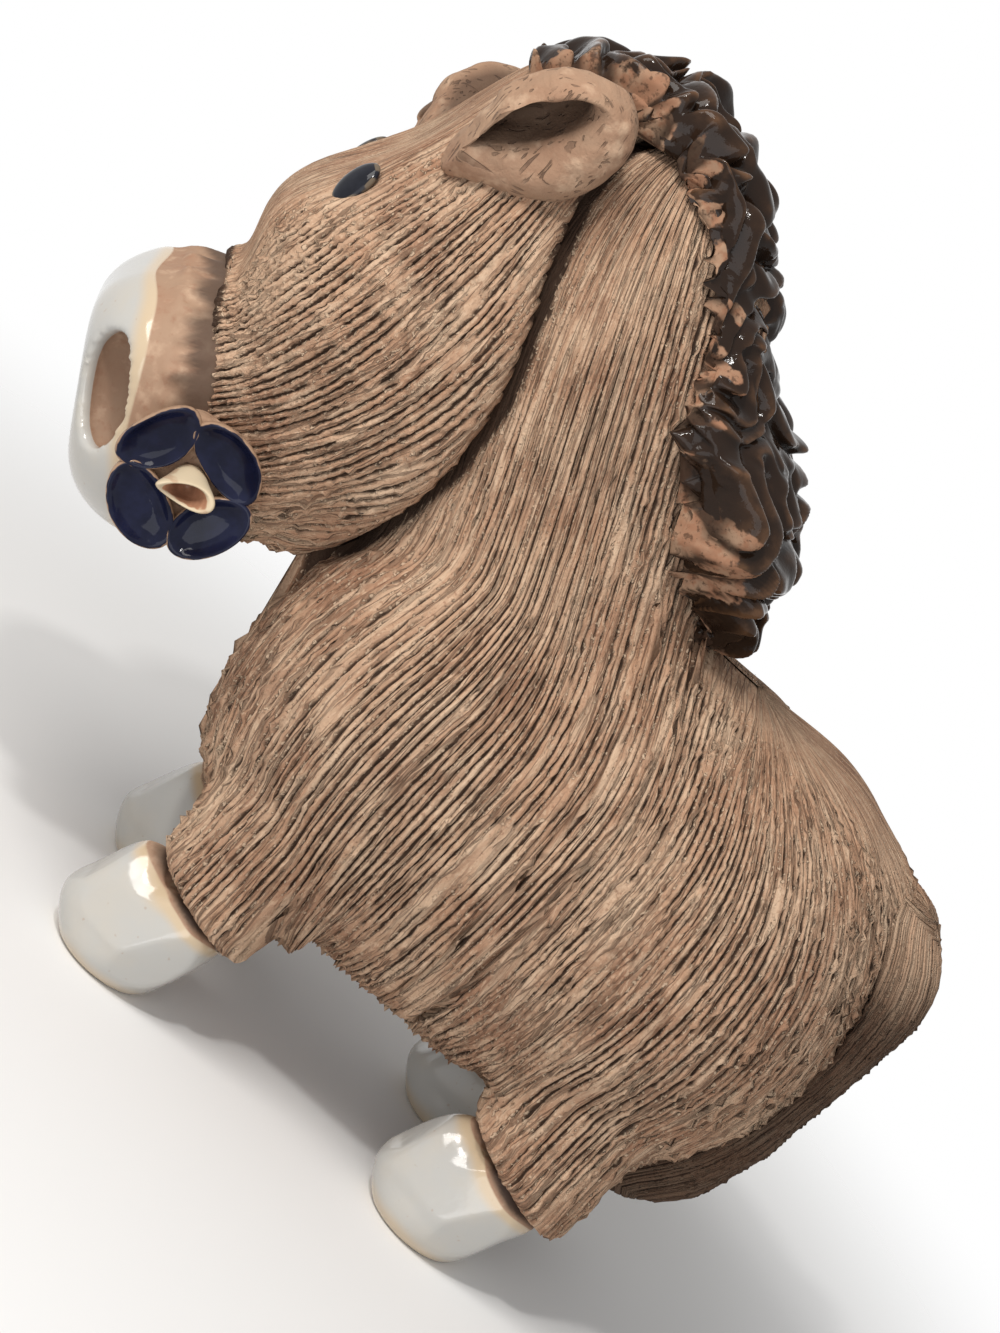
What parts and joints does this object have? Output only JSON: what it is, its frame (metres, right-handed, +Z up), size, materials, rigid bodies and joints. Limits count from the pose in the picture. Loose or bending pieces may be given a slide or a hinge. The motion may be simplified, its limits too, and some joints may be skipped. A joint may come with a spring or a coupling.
{
  "type": "ceramic horse figure",
  "caption": "Chunky hand-built ceramic horse on short legs, with a combed clay coat, white glazed hooves and muzzle, a curly brown glazed mane and a blue flower held in its mouth.",
  "frame": {"origin": "on the table, under the middle of the horse's bounding box", "axes": "+Z up, the horse looks along -X, its left side faces -Y"},
  "size_m": [0.1362, 0.062, 0.1272],
  "materials": {
    "combed_clay": "unglazed fired clay, combed into fine grooves",
    "raw_clay": "unglazed fired clay, smoothed by hand",
    "white_glaze": "glossy white glaze, tan where it runs thin",
    "brown_glaze": "glossy dark brown glaze, amber on the edges",
    "blue_glaze": "glossy dark cobalt glaze with pale rims",
    "cream_glaze": "thin cream glaze",
    "black_glaze": "glossy black glaze"
  },
  "bodies": {
    "root": {"body_shell": "combed_clay", "flower_heart": "cream_glaze", "flower_pad": "raw_clay", "flower_petal_1": "blue_glaze", "flower_petal_2": "blue_glaze", "flower_petal_3": "blue_glaze", "flower_petal_4": "blue_glaze", "front_left_hoof": "white_glaze", "front_left_leg": "combed_clay", "front_right_hoof": "white_glaze", "front_right_leg": "combed_clay", "head": "combed_clay", "left_ear": "raw_clay", "left_eye": "black_glaze", "mane_curl_01": "brown_glaze", "mane_curl_02": "brown_glaze", "mane_curl_03": "brown_glaze", "mane_curl_04": "brown_glaze", "mane_curl_05": "brown_glaze", "mane_curl_06": "brown_glaze", "mane_curl_07": "brown_glaze", "mane_curl_08": "brown_glaze", "mane_curl_09": "brown_glaze", "mane_curl_10": "brown_glaze", "mane_curl_11": "brown_glaze", "mane_curl_12": "brown_glaze", "mane_curl_13": "brown_glaze", "mane_curl_14": "brown_glaze", "mane_curl_15": "brown_glaze", "muzzle": "white_glaze", "rear_left_hoof": "white_glaze", "rear_left_leg": "combed_clay", "rear_right_hoof": "white_glaze", "rear_right_leg": "combed_clay", "right_ear": "raw_clay", "right_eye": "black_glaze", "tail": "combed_clay"}
  },
  "joints": []
}
